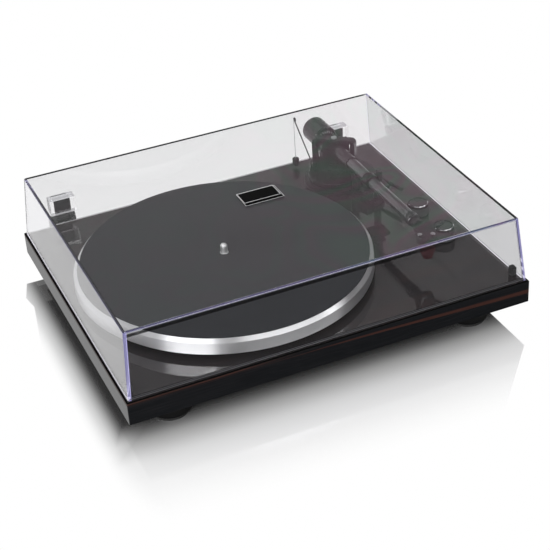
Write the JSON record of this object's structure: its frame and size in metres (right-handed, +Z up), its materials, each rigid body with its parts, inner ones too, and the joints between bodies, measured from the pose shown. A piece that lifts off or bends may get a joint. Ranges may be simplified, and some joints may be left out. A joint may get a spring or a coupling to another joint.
{
  "type": "turntable record player",
  "caption": "Belt-drive record player: veneered plinth on round feet, aluminium platter with mat, gimballed straight tonearm, two knobs and a clear hinged dust cover.",
  "frame": {"origin": "on the floor under the middle of the outline seen from above", "axes": "+X to the right along the front, +Y to the back where the hinges are, +Z up"},
  "size_m": [0.42, 0.35, 0.1167],
  "materials": {
    "veneer": "dark veneer under clear gloss lacquer",
    "board": "painted fibreboard",
    "black_plastic": "moulded satin",
    "rubber": "matt",
    "steel": "plain",
    "aluminium": "turned, fine satin",
    "felt": "black felt",
    "chrome": "polished",
    "black_metal": "satin black",
    "clear_plastic": "clear, polished",
    "red_plastic": "translucent dark red",
    "black_gloss": "gloss",
    "silver_grey": "satin grey",
    "brass": "plated",
    "green_board": "solder mask",
    "thread": "nylon thread"
  },
  "bodies": {
    "chassis": {"plinth": "veneer", "base_board": "board", "feet": "black_plastic", "foot_soles": "rubber", "foot_screws": "steel", "bearing_housing": "steel", "deck_screws": "steel", "motor": "steel", "motor_plate": "black_metal", "motor_grommets": "rubber", "drive_belt": "rubber", "hinge_bracket_left": "black_plastic", "hinge_bracket_right": "black_plastic", "hinge_pins": "steel", "arm_board": "black_plastic", "arm_pillar": "black_metal", "arm_yoke": "black_metal", "top_pivot_screw": "steel", "lift_housing": "black_plastic", "arm_rest": "black_plastic", "anti_skate_wire": "chrome", "anti_skate_thread": "thread", "knob_controls": "black_plastic", "socket_panel": "black_plastic", "signal_jacks": "brass", "ground_post": "brass", "power_socket": "black_plastic", "circuit_board": "green_board", "board_standoffs": "brass"},
    "platter": {"platter": "aluminium", "slipmat": "felt", "sub_platter": "black_plastic", "spindle": "chrome"},
    "motor_rotor": {"motor_pulley": "aluminium"},
    "hinge_leaves": {"hinge_leaves": "black_metal"},
    "cover": {"dust_cover": "clear_plastic", "badge_plate": "black_metal", "cover_bumpers": "rubber"},
    "arm_swivel": {"gimbal_ring": "black_metal"},
    "tonearm": {"pivot_block": "black_metal", "arm_sleeve": "black_metal", "arm_tube": "silver_grey", "tube_band": "black_metal", "headshell_nut": "black_metal", "headshell": "black_metal", "headshell_screws": "chrome", "cartridge": "black_gloss", "stylus_guard": "red_plastic", "stylus": "aluminium"},
    "counterweight": {"counterweight": "black_metal", "counterweight_bush": "silver_grey"},
    "force_dial": {"force_dial": "black_plastic"},
    "cue_lift": {"lift_bar": "black_metal"},
    "cue_lever": {"cue_lever": "black_metal"},
    "anti_skate_weight": {"anti_skate_weight": "chrome"},
    "speed_knob": {"speed_knob": "black_plastic", "speed_knob_ring": "chrome"},
    "power_knob": {"power_knob": "black_plastic", "power_knob_ring": "chrome"},
    "level_switch": {"level_switch": "black_plastic"}
  },
  "joints": [
    {"name": "platter_spin", "type": "hinge", "parent": "chassis", "child": "platter", "pos_m": [-0.0484, -0.0158, 0.06], "axis": [0, 0, -1], "continuous": true},
    {"name": "motor_spin", "type": "hinge", "parent": "chassis", "child": "motor_rotor", "pos_m": [-0.13673, 0.0352, 0.052], "axis": [0, 0, -1], "continuous": true},
    {"name": "cover_hinge", "type": "hinge", "parent": "chassis", "child": "hinge_leaves", "pos_m": [0, 0.1705, 0.05], "axis": [-1, 0, 0], "range_deg": [0, 60]},
    {"name": "cover_lift_off", "type": "slide", "parent": "hinge_leaves", "child": "cover", "axis": [0, 0, 1], "range_m": [0, 0.03]},
    {"name": "arm_swing", "type": "hinge", "parent": "chassis", "child": "arm_swivel", "pos_m": [0.1315, 0.1, 0.089], "axis": [0, 0, -1], "range_deg": [0, 41]},
    {"name": "arm_tilt", "type": "hinge", "parent": "arm_swivel", "child": "tonearm", "pos_m": [0.1315, 0.1, 0.089], "axis": [-1, 0, 0], "range_deg": [0, 3.5]},
    {"name": "counterweight_slide", "type": "slide", "parent": "tonearm", "child": "counterweight", "axis": [0, 1, 0], "range_m": [-0.003, 0.001]},
    {"name": "force_dial_turn", "type": "hinge", "parent": "counterweight", "child": "force_dial", "pos_m": [0.1315, 0.12, 0.089], "axis": [0, 1, 0], "range_deg": [-720, 240]},
    {"name": "cue_lever_lift", "type": "hinge", "parent": "chassis", "child": "cue_lever", "pos_m": [0.15967, 0.05664, 0.0665], "axis": [-0.9686, -0.2487, 0], "range_deg": [0, 60]},
    {"name": "cue_lift", "type": "slide", "parent": "chassis", "child": "cue_lift", "axis": [0, 0, 1], "range_m": [0, 0.0022]},
    {"name": "anti_skate_drop", "type": "slide", "parent": "chassis", "child": "anti_skate_weight", "axis": [0, 0, 1], "range_m": [0, 0.009], "deforming": ["anti_skate_thread"]},
    {"name": "speed_knob_turn", "type": "hinge", "parent": "chassis", "child": "speed_knob", "pos_m": [0.177, -0.0075, 0.055], "axis": [0, 0, -1], "range_deg": [-30, 30]},
    {"name": "power_knob_turn", "type": "hinge", "parent": "chassis", "child": "power_knob", "pos_m": [0.177, -0.062, 0.055], "axis": [0, 0, -1], "range_deg": [0, 60]},
    {"name": "level_switch_slide", "type": "slide", "parent": "chassis", "child": "level_switch", "axis": [1, 0, 0], "range_m": [0, 0.004]}
  ],
  "couplings": [
    {"joint": "motor_spin", "follows": "platter_spin", "ratio": 11.2},
    {"joint": "force_dial_turn", "follows": "counterweight_slide", "rad_per_m": 4188.8},
    {"joint": "cue_lift", "follows": "cue_lever_lift", "m_per_rad": 0.0021},
    {"joint": "arm_tilt", "follows": "cue_lever_lift", "ratio": 0.0559},
    {"joint": "anti_skate_drop", "follows": "arm_swing", "m_per_rad": 0.0125}
  ]
}
